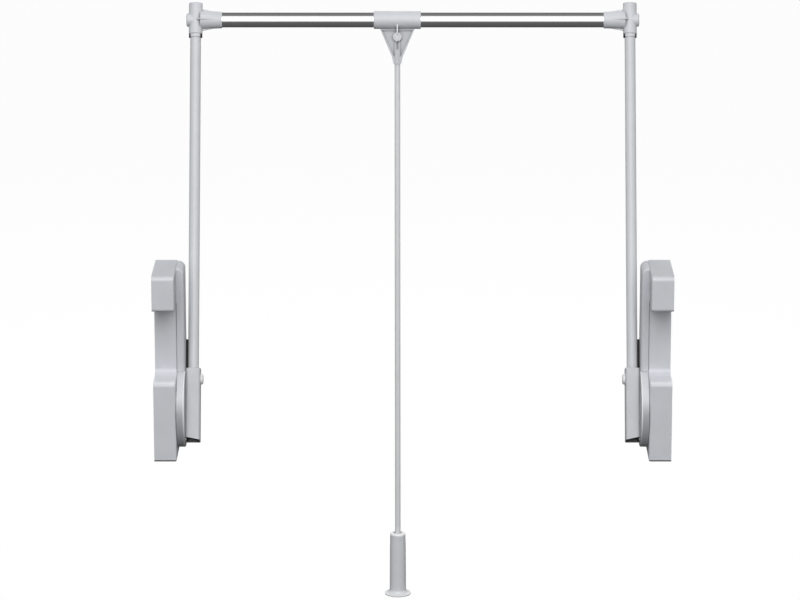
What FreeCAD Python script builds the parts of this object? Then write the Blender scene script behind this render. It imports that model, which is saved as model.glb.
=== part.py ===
"""Pull down closet rod: two wall housings, swinging arms, a telescoping rail and a pull rod.

Frame: the origin lies on the left housing's wall face, on the arms' pivot axis.
+X runs along the pivot axis to the right housing, +Y to the back of the closet, +Z up.
"""
import FreeCAD, Part
import math
import os
import re
import Sketcher

Vector = FreeCAD.Vector

SIZES = {
    # whole lift
    "overall_width": 854.0,      # wall face to wall face, rail pushed together
    "arm_lean": 20.6,            # degrees that the parked arms lean back
    "arm_reach": 655.0,          # pivot axis to rail axis
    "sleeve_shift": 26.0,        # pull sleeve, left of the middle
    # housing outline, measured from the pivot axis
    "housing_back": 55.0,
    "lower_front": 60.0,
    "upper_front": 68.0,
    "waist_front": 3.0,
    "foot_drop": 75.5,
    "knee_height": 60.0,
    "brow_height": 181.5,
    "head_height": 241.0,
    "casing_depth": 37.0,
    "casing_wall": 2.5,
    "head_radius": 8.0,
    "waist_radius": 10.0,
    "lip_radius": 3.2,
    "chin_radius": 5.0,
    "rim_radius": 3.0,
    # wall plate and its fixing wells
    "plate_thickness": 2.5,
    "plate_gap": 0.3,
    "fixing_hole": 5.5,
    "well_diameter": 10.0,
    "well_wall": 1.5,
    "well_floor": 4.0,
    "upper_well_height": 212.0,
    "upper_well_far": 50.0,
    "upper_well_near": 20.0,
    "lower_well_drop": 60.0,
    "lower_well_front": 46.0,
    "lower_well_back": 44.0,
    # spring spine on the casing
    "spine_front": 5.0,
    "spine_back": 51.0,
    "spine_rise": 12.6,
    "spine_top": 240.5,
    "spine_wall": 2.0,
    "spine_corner": 11.0,
    "spine_edge": 4.0,
    "spine_gap": 0.5,            # round the hub disc
    # hub disc
    "disc_diameter": 128.0,
    "disc_thickness": 12.6,
    "disc_gap": 0.5,             # to the casing
    "disc_web": 3.5,
    "disc_rim": 4.0,
    "disc_edge": 2.0,
    # pivot shaft and its bearings
    "shaft_diameter": 12.0,
    "shaft_flat": 4.5,           # axis to the driving flat
    "bearing_floor": 1.0,        # left under the wall plate's blind bore
    "shaft_end": 1.2,            # from the wall face
    "drive_square": 8.4,
    "drive_start_gap": 0.4,      # past the inner bush
    "shaft_head": 20.0,
    "head_thickness": 5.0,
    "running_fit": 0.05,
    "outer_bush_diameter": 16.0,
    "outer_bush_reach": 10.0,
    "bush_collar_wall": 4.0,
    "bush_flange": 1.0,
    "bush_flange_rim": 1.5,
    "inner_bush_diameter": 18.0,
    "inner_collar_height": 8.0,
    "clip_thickness": 1.2,
    "clip_groove": 0.8,
    "clip_rim": 2.5,
    "stack_gap": 0.2,
    # gear: pinion on the shaft, rack beside it
    "gear_module": 1.75,
    "pinion_teeth": 16.0,
    "pressure_angle": 20.0,
    "rack_addendum": 0.9,        # times the module
    "gear_dedendum": 1.25,       # times the module
    "gear_backlash": 0.24,
    "gear_width": 14.0,
    "gear_side_gap": 1.0,        # to the casing's inboard wall
    "rack_back": 28.0,
    "rack_below": 48.0,
    "rack_tooth_count": 10.0,
    "guide_gap": 0.3,
    "guide_front": 18.0,
    "guide_back": 33.0,
    "guide_half_height": 34.0,
    # spring, damper and their seats
    "spring_axis_back": 25.0,
    "spring_diameter": 34.0,
    "spring_strip": 3.6,
    "spring_turns": 9.0,
    "spring_closed_turns": 0.75, # at each end
    "spring_closed_rise": 1.0,   # of one closed end
    "spring_low": 74.0,
    "spring_high": 226.0,
    "seat_thickness": 4.0,
    "seat_spigot": 22.0,
    "seat_spigot_height": 6.0,
    "anchor_thickness": 8.0,
    "anchor_margin": 1.0,
    "window_margin": 2.5,
    "window_low": 68.0,
    "damper_diameter": 18.0,
    "damper_wall": 1.5,
    "damper_low": 118.0,
    "damper_cap": 3.0,
    "damper_stud": 8.0,
    "piston_rod_diameter": 6.0,
    "piston_rod_seat": 10.0,
    "piston_height": 150.0,
    "piston_thickness": 10.0,
    "piston_gap": 0.1,
    # arm bracket on the hub
    "bracket_width": 24.0,
    "bracket_depth": 32.0,
    "bracket_wall": 1.6,
    "bracket_above": 66.0,
    "bracket_below": 53.5,
    "bracket_slant": 2.5,        # the back hangs lower
    "bracket_front_slant": 5.0,  # the front is cut higher beside the hub
    "bracket_corner": 4.0,
    "bracket_screw_first": 22.0,
    "bracket_screw_pitch": 16.0,
    "bracket_screw_diameter": 4.4,
    "bracket_screw_head": 9.0,
    "bracket_screw_rise": 2.8,
    "insert_low": 18.0,
    "insert_gap": 0.1,
    "insert_top_drop": 2.0,
    # arm tube and its cross screw
    "arm_diameter": 18.0,
    "arm_tube_wall": 1.5,
    "arm_top": 24.0,             # past the rail axis
    "arm_screw_height": 48.5,
    "arm_screw_diameter": 6.0,
    "arm_screw_head": 18.0,
    "arm_screw_rise": 4.6,
    "arm_screw_dome": 3.4,
    "arm_screw_socket": 6.0,     # across its corners
    "arm_screw_socket_depth": 2.8,
    "screw_fit": 0.1,
    # rubber rest behind the parked arm
    "rest_low": 69.0,
    "rest_high": 115.0,
    "rest_front": 4.0,
    "rest_lip": 6.0,
    "rest_gap": 0.3,
    # corner connector
    "barrel_diameter": 23.0,
    "barrel_above": 28.9,
    "barrel_below": 24.3,
    "barrel_edge": 1.5,
    "barrel_foot_edge": 1.2,
    "collar_diameter": 21.0,
    "collar_drop": 5.0,
    "socket_reach": 44.5,
    "socket_start": 8.0,
    "socket_root": 30.4,
    "socket_mouth": 27.9,
    "socket_edge": 0.8,
    "socket_floor": 13.5,
    "rib_thickness": 2.4,
    "rib_height": 20.5,
    "rib_side_height": 17.5,
    "rib_side_start": 9.0,
    "rib_reach": 34.0,
    "boss_diameter": 22.7,
    "boss_reach": 12.4,
    "boss_floor": 10.4,
    "boss_bore": 16.0,
    "cap_thickness": 3.0,
    "cap_edge": 2.7,
    "cap_spigot": 1.5,
    "cap_spigot_wall": 1.4,
    "connector_screw_diameter": 5.0,
    "connector_screw_head": 9.6,
    "liner_diameter": 19.6,
    "liner_depth": 16.5,
    "lug_diameter": 22.6,
    "lug_width": 12.8,
    "lug_drop": 0.4,
    # rail
    "rail_diameter": 25.0,
    "rail_wall": 1.2,
    "inner_rail_diameter": 22.0,
    "inner_rail_wall": 1.5,
    "rail_joint_gap": 1.0,
    "inner_rail_inset": 175.0,   # from the left tube's outer end
    "inner_rail_clear": 27.0,    # to the right tube's outer end
    # sleeve with its triangular bracket
    "sleeve_length": 79.4,
    "sleeve_diameter": 30.0,
    "sleeve_fit": 0.1,
    "sleeve_edge": 1.8,
    "gusset_top": 59.4,
    "gusset_waist": 18.6,
    "gusset_waist_drop": 61.3,
    "gusset_foot": 13.2,
    "gusset_drop": 74.0,
    "gusset_thickness": 10.0,
    "gusset_web": 4.0,
    "gusset_rim": 3.7,
    "rod_socket_top": 34.0,
    "pin_drop": 27.5,
    "pin_boss": 15.6,
    "pin_boss_depth": 13.0,
    "pin_head": 14.8,
    "pin_head_rise": 3.0,
    "pin_head_edge": 1.2,
    "pin_groove": 9.0,           # ring groove in the head
    "pin_groove_width": 1.2,
    "pin_groove_depth": 1.0,
    "pin_diameter": 6.0,
    "pin_nut": 11.0,
    "fin_thickness": 2.0,
    "fin_root": 14.1,
    "fin_front": 15.2,
    "fin_shoulder": 8.5,
    "fin_top": 5.0,
    "slot_width": 3.4,
    "slot_top": 36.0,
    "slot_bottom": 49.0,
    # pull rod and handle
    "rod_diameter": 9.5,
    "rod_wall": 1.0,
    "rod_top_drop": 22.0,
    "handle_top": 900.3,         # below the rail axis
    "handle_length": 111.2,
    "handle_neck": 26.2,
    "handle_waist": 27.4,
    "handle_foot": 28.4,
    "handle_bore": 17.0,
    "handle_base": 21.5,         # solid under the bore
    "handle_lip": 3.4,
    "handle_flange": 45.0,
    "flange_thickness": 2.6,
    "flange_flare": 7.2,
    "flange_edge": 0.8,
    "grip_ring_first": 6.5,      # three shallow rings under the lip
    "grip_ring_pitch": 3.4,
    "grip_ring_width": 1.0,
    "grip_ring_depth": 0.35,
    "rod_foot_gap": 5.0,
    "plug_drop": 26.5,           # under the handle's top
}

doc = FreeCAD.newDocument("pull_down_closet_rod")
sheet = doc.addObject("Spreadsheet::Sheet", "Dims")
for row, (alias, value) in enumerate(SIZES.items(), 1):
    sheet.set("A%d" % row, alias)
    sheet.set("B%d" % row, str(value))
    sheet.setAlias("B%d" % row, alias)
doc.recompute()

# Places that several pieces share, as expressions in the sheet's words.
CASING_INNER = "(casing_depth - casing_wall)"
ARM_SEAT = "(casing_depth + disc_gap + disc_thickness)"
ARM_AXIS = "(%s + bracket_width / 2)" % ARM_SEAT
SPINE_FACE = "(casing_depth + spine_rise)"
SHAFT_HOLE = "(shaft_diameter / 2 + running_fit)"
PITCH_RADIUS = "(gear_module * pinion_teeth / 2)"
GEAR_END = "(%s - gear_side_gap)" % CASING_INNER
GEAR_START = "(%s - gear_width)" % GEAR_END
SPRING_AXIS = "(%s + gear_width / 2)" % GEAR_START
RAIL_BACK = "(arm_reach * sin(arm_lean))"
RAIL_UP = "(arm_reach * cos(arm_lean))"
SLEEVE_AXIS = "(overall_width / 2 - sleeve_shift)"
ROOT_LINE = "(%s + gear_dedendum * gear_module)" % PITCH_RADIUS
HANDLE_BOTTOM = "(handle_top + handle_length)"
HANDLE_FLOOR = "(%s - handle_base)" % HANDLE_BOTTOM
ROD_FOOT = "(%s - rod_foot_gap)" % HANDLE_FLOOR

WORD = re.compile(r"[a-z][a-z_]*")


def bound(expression):
    """The expression with each size written as a cell of the sheet."""
    return WORD.sub(lambda found: ("Dims." if found.group(0) in SIZES else "") + found.group(0), expression)


def size(alias):
    """A size of the sheet as a number."""
    return float(sheet.get(alias))


def sheet_value(expression):
    """A sum of the sheet's sizes as a number."""
    return sum(size(alias) for alias in WORD.findall(expression))


# ---------------------------------------------------------------- modelling helpers

def new_body(label):
    body = doc.addObject("PartDesign::Body", label)
    body.Label = label
    return body


def new_sketch(body, name, role, offset=None):
    """A sketch on one of the body's origin planes, moved along the plane's normal."""
    sketch = body.newObject("Sketcher::SketchObject", name)
    plane = next(item for item in body.Origin.OriginFeatures if item.Role == role)
    sketch.AttachmentSupport = [(plane, "")]
    sketch.MapMode = "FlatFace"
    if offset:
        sketch.setExpression("AttachmentOffset.Base.z", bound(offset))
    return sketch


def hold(sketch, kind, geometry, point, expression):
    """Hold one point of the sketch at an expression's distance from its origin."""
    number = sketch.addConstraint(Sketcher.Constraint(kind, -1, 1, geometry, point, 1.0))
    name = "%s_%d_%d" % (kind, geometry, point)
    sketch.renameConstraint(number, name)
    sketch.setExpression("Constraints." + name, bound(expression))


def polygon(sketch, corners):
    """A closed outline through corners given as pairs of expressions."""
    first = sketch.GeometryCount
    count = len(corners)
    turns = [2.0 * math.pi * index / count for index in range(count + 1)]
    spots = [Vector(math.cos(turn), math.sin(turn), 0) for turn in turns]
    for index in range(count):
        sketch.addGeometry(Part.LineSegment(spots[index], spots[index + 1]), False)
    for index in range(count):
        following = first + (index + 1) % count
        sketch.addConstraint(Sketcher.Constraint("Coincident", first + index, 2, following, 1))
    for index, (across, up) in enumerate(corners):
        hold(sketch, "DistanceX", first + index, 1, across)
        hold(sketch, "DistanceY", first + index, 1, up)


def circle(sketch, across, up, radius):
    number = sketch.addGeometry(Part.Circle(Vector(1, 1, 0), Vector(0, 0, 1), 1.0), False)
    hold(sketch, "DistanceX", number, 3, across)
    hold(sketch, "DistanceY", number, 3, up)
    radial = sketch.addConstraint(Sketcher.Constraint("Radius", number, 1.0))
    name = "Radius_%d" % number
    sketch.renameConstraint(radial, name)
    sketch.setExpression("Constraints." + name, bound(radius))


def rectangle(low_across, low_up, high_across, high_up):
    return [(low_across, low_up), (high_across, low_up), (high_across, high_up), (low_across, high_up)]


def pad(body, sketch, length, both_ways=False):
    feature = body.newObject("PartDesign::Pad", sketch.Name + "_pad")
    feature.Profile = sketch
    feature.setExpression("Length", bound(length))
    feature.Midplane = both_ways
    sketch.Visibility = False
    return feature


def pocket(body, sketch, length=None, forward=False, both_ways=False):
    """Cut the sketch away, through everything when no length is given; forward is along its normal."""
    doc.recompute()
    before = body.Shape.Volume
    feature = body.newObject("PartDesign::Pocket", sketch.Name + "_cut")
    feature.Profile = sketch
    if length is None:
        feature.Type = "ThroughAll"
    else:
        feature.setExpression("Length", bound(length))
    feature.Reversed = forward
    feature.Midplane = both_ways
    doc.recompute()
    if not body.Shape.Volume < before:
        raise ValueError("nothing was cut by " + feature.Name)
    return feature


def turn(body, sketch, axis="H_Axis"):
    feature = body.newObject("PartDesign::Revolution", sketch.Name + "_turn")
    feature.Profile = sketch
    feature.ReferenceAxis = (sketch, [axis])
    feature.Angle = 360.0
    return feature


def round_edges(body, name, radius, **where):
    """Round the edges whose two ends lie at the given coordinates of the body's own frame."""
    doc.recompute()
    base = body.Tip
    names = []
    for number, edge in enumerate(base.Shape.Edges, 1):
        ends = [vertex.Point for vertex in edge.Vertexes]
        if all(abs(getattr(end, axis) - value) < 1e-3 for end in ends for axis, value in where.items()):
            names.append("Edge%d" % number)
    if not names:
        raise ValueError("no edge for " + name)
    feature = body.newObject("PartDesign::Fillet", name)
    feature.Base = (base, names)
    feature.setExpression("Radius", bound(radius))
    return feature


def turned(label, profile, role="XZ_Plane", axis="H_Axis"):
    """A body turned about an axis from a profile of (along, radius) expressions."""
    body = new_body(label)
    sketch = new_sketch(body, label + "_profile", role)
    flat = profile if axis == "H_Axis" else [(radius, along) for along, radius in profile]
    polygon(sketch, flat)
    turn(body, sketch, axis)
    return body


def ring(start, end, inner, outer):
    """The profile of a plain ring or tube, between two places along its axis."""
    return [(start, inner), (start, outer), (end, outer), (end, inner)]


def leaning(body):
    """Turn a piece that is drawn upright about the pivot axis, as the parked arm leans."""
    body.Placement = FreeCAD.Placement(Vector(), FreeCAD.Rotation(Vector(-1, 0, 0), 1.0))
    body.setExpression("Placement.Rotation.Angle", bound("arm_lean"))
    return body


def at_rail(body, across):
    """Carry a piece that is drawn about the rail axis to the top of the leaning arm."""
    leaning(body)
    body.setExpression("Placement.Base.x", bound(across))
    body.setExpression("Placement.Base.y", bound(RAIL_BACK))
    body.setExpression("Placement.Base.z", bound(RAIL_UP))
    return body


def under_rail(body):
    """Hang a piece that is drawn about the rail axis upright at the sleeve."""
    body.setExpression("Placement.Base.x", bound(SLEEVE_AXIS))
    body.setExpression("Placement.Base.y", bound(RAIL_BACK))
    body.setExpression("Placement.Base.z", bound(RAIL_UP))
    return body


# ---------------------------------------------------------------- housing

def casing_outline(inset):
    """The housing's stepped side view: deep foot, narrow waist and overhanging head."""
    back = "housing_back - %s" % inset
    lower = "-(lower_front - %s)" % inset
    upper = "-(upper_front - %s)" % inset
    waist = "-(waist_front - %s)" % inset
    foot = "-(foot_drop - %s)" % inset
    knee = "knee_height - %s" % inset
    brow = "brow_height + %s" % inset
    head = "head_height - %s" % inset
    return [(lower, foot), (back, foot), (back, head), (upper, head),
            (upper, brow), (waist, brow), (waist, knee), (lower, knee)]


def round_casing(body, name, inset="0"):
    """Round the stepped outline's long corners about the same centres at any inset."""
    step = sheet_value(inset)
    front = step - size("lower_front")
    head_front = step - size("upper_front")
    waist = step - size("waist_front")
    knee = size("knee_height") - step
    brow = size("brow_height") + step
    head = size("head_height") - step
    round_edges(body, name + "_head", "head_radius - " + inset, y=head_front, z=head)
    round_edges(body, name + "_knee", "head_radius - " + inset, y=front, z=knee)
    round_edges(body, name + "_waist", "waist_radius + " + inset, y=waist, z=knee)
    round_edges(body, name + "_armpit", "waist_radius / 2 + " + inset, y=waist, z=brow)


def well_places():
    """The four fixing wells, as (back, up) expressions: two in the head, two in the foot."""
    return [("-upper_well_far", "upper_well_height"), ("-upper_well_near", "upper_well_height"),
            ("-lower_well_front", "-lower_well_drop"), ("lower_well_back", "-lower_well_drop")]


def wall_plate(label):
    """Steel plate screwed to the closet's side, with the shaft's outer bearing collar."""
    body = new_body(label)
    outline = new_sketch(body, label + "_outline", "YZ_Plane")
    polygon(outline, casing_outline("(casing_wall + plate_gap)"))
    pad(body, outline, "plate_thickness")
    round_casing(body, label, "(casing_wall + plate_gap)")
    collar = new_sketch(body, label + "_collar", "YZ_Plane")
    circle(collar, "0", "0", "outer_bush_diameter / 2 + bush_collar_wall")
    pad(body, collar, "outer_bush_reach")
    bore = new_sketch(body, label + "_bore", "YZ_Plane", "bearing_floor")
    circle(bore, "0", "0", "outer_bush_diameter / 2 + running_fit")
    pocket(body, bore, forward=True)
    holes = new_sketch(body, label + "_holes", "YZ_Plane")
    for back, up in well_places():
        circle(holes, back, up, "fixing_hole / 2")
    pocket(body, holes, forward=True)
    return body


def casing(label):
    """Moulded shell, open to the wall, with screw wells, the hub collar and the spring window."""
    body = new_body(label)
    outline = new_sketch(body, label + "_outline", "YZ_Plane")
    polygon(outline, casing_outline("0"))
    pad(body, outline, "casing_depth")
    round_casing(body, label + "_outer")
    round_edges(body, label + "_chin", "chin_radius", y=-size("upper_front"), z=size("brow_height"))
    round_edges(body, label + "_toe", "lip_radius", y=-size("lower_front"), z=-size("foot_drop"))
    round_edges(body, label + "_heel", "lip_radius", y=size("housing_back"), z=-size("foot_drop"))
    round_edges(body, label + "_crown", "lip_radius", y=size("housing_back"), z=size("head_height"))
    round_edges(body, label + "_rim", "rim_radius", x=size("casing_depth"))
    hollow = new_sketch(body, label + "_hollow", "YZ_Plane")
    polygon(hollow, casing_outline("casing_wall"))
    pocket(body, hollow, CASING_INNER, forward=True)
    round_casing(body, label + "_inner", "casing_wall")
    posts = new_sketch(body, label + "_posts", "YZ_Plane", "plate_thickness")
    for back, up in well_places():
        circle(posts, back, up, "well_diameter / 2 + well_wall")
    pad(body, posts, "casing_depth - casing_wall / 2 - plate_thickness")
    collar = new_sketch(body, label + "_collar", "YZ_Plane", CASING_INNER)
    circle(collar, "0", "0", "inner_bush_diameter / 2 + bush_collar_wall")
    pad(body, collar, "casing_wall + inner_collar_height")
    wells = new_sketch(body, label + "_wells", "YZ_Plane", "casing_depth")
    for back, up in well_places():
        circle(wells, back, up, "well_diameter / 2")
    pocket(body, wells, "casing_depth - plate_thickness - well_floor")
    holes = new_sketch(body, label + "_holes", "YZ_Plane")
    for back, up in well_places():
        circle(holes, back, up, "fixing_hole / 2")
    circle(holes, "0", "0", "inner_bush_diameter / 2 + running_fit")
    pocket(body, holes, forward=True)
    window = new_sketch(body, label + "_window", "YZ_Plane", "plate_thickness")
    reach = "(spring_diameter / 2 + window_margin)"
    polygon(window, rectangle("spring_axis_back - " + reach, "window_low",
                              "spring_axis_back + " + reach, "spring_high + anchor_thickness"))
    pocket(body, window, forward=True)
    return body


def spine_outline(sketch, inset):
    """Upright cover outline, standing on an arc round the hub disc."""
    low = size("disc_diameter") / 2 + size("spine_gap") + inset
    front = inset - size("spine_front")
    back = size("spine_back") - inset
    top = size("spine_top") - inset
    start = math.acos(back / low)
    end = math.acos(front / low)
    foot_back = Vector(back, low * math.sin(start), 0)
    foot_front = Vector(front, low * math.sin(end), 0)
    head_back = Vector(back, top, 0)
    head_front = Vector(front, top, 0)
    for near, far in ((foot_back, head_back), (head_back, head_front), (head_front, foot_front)):
        sketch.addGeometry(Part.LineSegment(near, far), False)
    round_hub = Part.Circle(Vector(), Vector(0, 0, 1), low)
    sketch.addGeometry(Part.ArcOfCircle(round_hub, start, end), False)
    joints = ((0, 2, 1, 1), (1, 2, 2, 1), (2, 2, 3, 2), (3, 1, 0, 1))
    for first, first_end, second, second_end in joints:
        sketch.addConstraint(Sketcher.Constraint("Coincident", first, first_end, second, second_end))
    for line in (0, 2):
        sketch.addConstraint(Sketcher.Constraint("Vertical", line))
    sketch.addConstraint(Sketcher.Constraint("Coincident", 3, 3, -1, 1))
    radial = sketch.addConstraint(Sketcher.Constraint("Radius", 3, low))
    sketch.renameConstraint(radial, "hub_arc")
    margin = "spine_wall" if inset else "0"
    sketch.setExpression("Constraints.hub_arc", bound("disc_diameter / 2 + spine_gap + " + margin))
    hold(sketch, "DistanceX", 0, 2, "spine_back - " + margin)
    hold(sketch, "DistanceY", 0, 2, "spine_top - " + margin)
    hold(sketch, "DistanceX", 1, 2, "-(spine_front - %s)" % margin)
    hold(sketch, "DistanceY", 1, 2, "spine_top - " + margin)


def spine_cover(label):
    """Raised cover over the spring, set on the casing's inboard face."""
    body = new_body(label)
    outline = new_sketch(body, label + "_outline", "YZ_Plane", "casing_depth")
    spine_outline(outline, 0.0)
    pad(body, outline, "spine_rise")
    hollow = new_sketch(body, label + "_hollow", "YZ_Plane", "casing_depth")
    spine_outline(hollow, size("spine_wall"))
    pocket(body, hollow, "spine_rise - spine_wall", forward=True)
    face = size("casing_depth") + size("spine_rise")
    round_edges(body, label + "_inner_crown", "spine_corner - spine_wall",
                x=face - size("spine_wall"), z=size("spine_top") - size("spine_wall"))
    round_edges(body, label + "_crown", "spine_corner", x=face, z=size("spine_top"))
    round_edges(body, label + "_front", "spine_edge", x=face, y=-size("spine_front"))
    round_edges(body, label + "_back", "lip_radius", x=face, y=size("spine_back"))
    return body


def rest_stop(label):
    """Rubber rest on the spine: a side pad and a lip behind the parked arm."""
    body = new_body(label)
    section = new_sketch(body, label + "_section", "XY_Plane", "rest_low")
    side = ARM_AXIS + " - arm_diameter / 2 - rest_gap"
    near = "arm_diameter / 2 + rest_gap"
    far = near + " + rest_lip"
    polygon(section, [(SPINE_FACE, "-rest_front"), (side, "-rest_front"), (side, near),
                      (ARM_AXIS, near), (ARM_AXIS, far), (SPINE_FACE, far)])
    pad(body, section, "rest_high - rest_low")
    return leaning(body)


# ---------------------------------------------------------------- hub, shaft and bearings

def hub_disc(label):
    """Round hub that carries the arm bracket, ribbed behind and bored for the shaft."""
    body = new_body(label)
    profile = new_sketch(body, label + "_profile", "XZ_Plane")
    back = "casing_depth + disc_gap"
    web = ARM_SEAT + " - disc_web"
    rim = "disc_diameter / 2"
    hub_inner = "inner_bush_diameter / 2 + bush_collar_wall + bush_collar_wall"
    hub_outer = hub_inner + " + disc_rim"
    polygon(profile, [(web, "0"), (web, hub_inner), (back, hub_inner), (back, hub_outer),
                      (web, hub_outer), (web, rim + " - disc_rim"), (back, rim + " - disc_rim"),
                      (back, rim), (ARM_SEAT, rim), (ARM_SEAT, "0")])
    turn(body, profile)
    seat = size("casing_depth") + size("disc_gap") + size("disc_thickness")
    round_edges(body, label + "_edge", "disc_edge", x=seat, y=0.0, z=size("disc_diameter") / 2)
    holes = new_sketch(body, label + "_holes", "YZ_Plane", web)
    bracket_screw_circles(holes, "bracket_screw_diameter / 2 + running_fit")
    square_drive(holes, "running_fit")
    pocket(body, holes, forward=True)
    return leaning(body)


def bracket_screw_circles(sketch, radius):
    """Two screws below the shaft, in line with the arm."""
    circle(sketch, "0", "-bracket_screw_first", radius)
    circle(sketch, "0", "-bracket_screw_first - bracket_screw_pitch", radius)


def square_drive(sketch, gap):
    """The square by which the shaft drives the hub and the bracket."""
    half = "(drive_square / 2 + %s)" % gap
    polygon(sketch, rectangle("-" + half, "-" + half, half, half))


def pivot_shaft(label):
    """Shaft with a flat for the pinion, a clip groove, a square drive and a round head."""
    radius = "shaft_diameter / 2"
    head = ARM_SEAT + " + bracket_wall"
    groove = "outer_bush_reach + bush_flange + stack_gap"
    drive = "casing_depth + inner_collar_height + bush_flange + drive_start_gap"
    body = turned(label, [("shaft_end", "0"), ("shaft_end", radius), (groove, radius),
                          (groove, radius + " - clip_groove"),
                          (groove + " + clip_thickness", radius + " - clip_groove"),
                          (groove + " + clip_thickness", radius), (drive, radius),
                          (drive, "drive_square / 2"), (head, "drive_square / 2"),
                          (head, "shaft_head / 2"), (head + " + head_thickness", "shaft_head / 2"),
                          (head + " + head_thickness", "0")])
    square = new_sketch(body, label + "_square", "YZ_Plane", drive)
    square_drive(square, "0")
    pad(body, square, head + " - (%s)" % drive)
    flat = new_sketch(body, label + "_flat", "YZ_Plane", GEAR_START)
    polygon(flat, rectangle("-shaft_diameter", "shaft_flat", "shaft_diameter", "shaft_diameter"))
    pocket(body, flat, "gear_width", forward=True)
    return leaning(body)


def outer_bush(label):
    """Flanged bearing bush in the wall plate's collar."""
    outer = "outer_bush_diameter / 2"
    flange_end = "outer_bush_reach + bush_flange"
    return turned(label, [("bearing_floor", SHAFT_HOLE), ("bearing_floor", outer),
                          ("outer_bush_reach", outer), ("outer_bush_reach", outer + " + bush_flange_rim"),
                          (flange_end, outer + " + bush_flange_rim"), (flange_end, SHAFT_HOLE)])


def inner_bush(label):
    """Flanged bearing bush in the casing's hub collar."""
    outer = "inner_bush_diameter / 2"
    mouth = "casing_depth + inner_collar_height"
    return turned(label, [(CASING_INNER, SHAFT_HOLE), (CASING_INNER, outer), (mouth, outer),
                          (mouth, outer + " + bush_flange_rim"),
                          (mouth + " + bush_flange", outer + " + bush_flange_rim"),
                          (mouth + " + bush_flange", SHAFT_HOLE)])


def shaft_clip(label):
    """Retaining ring in the shaft's groove, inboard of the outer bush."""
    body = new_body(label)
    start = "outer_bush_reach + bush_flange + stack_gap"
    section = new_sketch(body, label + "_ring", "YZ_Plane", start)
    circle(section, "0", "0", "shaft_diameter / 2 + clip_rim")
    circle(section, "0", "0", "shaft_diameter / 2 - clip_groove + running_fit")
    pad(body, section, "clip_thickness")
    mouth = new_sketch(body, label + "_mouth", "YZ_Plane", start)
    polygon(mouth, rectangle("-clip_rim", "0", "clip_rim", "shaft_diameter"))
    pocket(body, mouth, forward=True)
    return body


# ---------------------------------------------------------------- gear pair

def involute_point(base, radius, thickness_angle):
    """The point of a tooth's flank at a radius, for a tooth centred on the first axis."""
    pressure = math.acos(base / radius)
    turned_by = thickness_angle - (math.tan(pressure) - pressure)
    return Vector(0, radius * math.cos(turned_by), radius * math.sin(turned_by))


def pinion(label):
    """Involute teeth on the shaft's flat; a tooth space faces the rack when the arm is parked."""
    module = size("gear_module")
    teeth = int(size("pinion_teeth"))
    pitch = module * teeth / 2
    angle = math.radians(size("pressure_angle"))
    base = pitch * math.cos(angle)
    tip = pitch + module
    root = pitch - size("gear_dedendum") * module
    half_tooth = math.pi / (2 * teeth) - size("gear_backlash") / (4 * pitch)
    thickness = half_tooth + math.tan(angle) - angle
    flank = [involute_point(base, radius, thickness) for radius in (base, (base + tip) / 2, tip)]
    foot = Vector(0, root * math.cos(thickness), root * math.sin(thickness))
    step = 360.0 / teeth
    edges = []
    for tooth in range(teeth):
        turn_by = FreeCAD.Rotation(Vector(1, 0, 0), step * (tooth + 0.5))
        gap_turn = FreeCAD.Rotation(Vector(1, 0, 0), step * (tooth + 1))
        left = [turn_by.multVec(Vector(0, point.y, -point.z)) for point in [foot] + flank]
        right = [turn_by.multVec(point) for point in [foot] + flank]
        crest = turn_by.multVec(Vector(0, tip, 0))
        following = FreeCAD.Rotation(Vector(1, 0, 0), step).multVec(left[0])
        valley = gap_turn.multVec(Vector(0, root, 0))
        edges.append(Part.LineSegment(left[0], left[1]).toShape())
        edges.append(Part.Arc(left[1], left[2], left[3]).toShape())
        edges.append(Part.Arc(left[3], crest, right[3]).toShape())
        edges.append(Part.Arc(right[3], right[2], right[1]).toShape())
        edges.append(Part.LineSegment(right[1], right[0]).toShape())
        edges.append(Part.Arc(right[0], valley, following).toShape())
    width = size("gear_width")
    blank = Part.Face(Part.Wire(Part.__sortEdges__(edges))).extrude(Vector(width, 0, 0))
    boss_start = (size("outer_bush_reach") + size("bush_flange") + size("clip_thickness")
                  + 2 * size("stack_gap"))
    gear_start = size("casing_depth") - size("casing_wall") - size("gear_side_gap") - width
    boss_length = gear_start - boss_start
    boss_radius = size("shaft_diameter") / 2 + size("clip_rim")
    boss = Part.makeCylinder(boss_radius, boss_length, Vector(-boss_length, 0, 0), Vector(1, 0, 0))
    bore_radius = size("shaft_diameter") / 2 + size("running_fit")
    bore = Part.makeCylinder(bore_radius, width, Vector(), Vector(1, 0, 0))
    flat_height = size("shaft_flat") + size("running_fit")
    keep = Part.makeBox(width, 4 * bore_radius, 2 * bore_radius + flat_height,
                        Vector(0, -2 * bore_radius, -2 * bore_radius))
    drive = bore.common(keep)
    drive.rotate(Vector(), Vector(-1, 0, 0), size("arm_lean"))
    passage = Part.makeCylinder(bore_radius, boss_length, Vector(-boss_length, 0, 0), Vector(1, 0, 0))
    feature = doc.addObject("Part::Feature", label)
    feature.Label = label
    feature.Shape = blank.cut(drive).fuse(boss.cut(passage))
    feature.setExpression("Placement.Base.x", bound(GEAR_START))
    return feature


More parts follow.
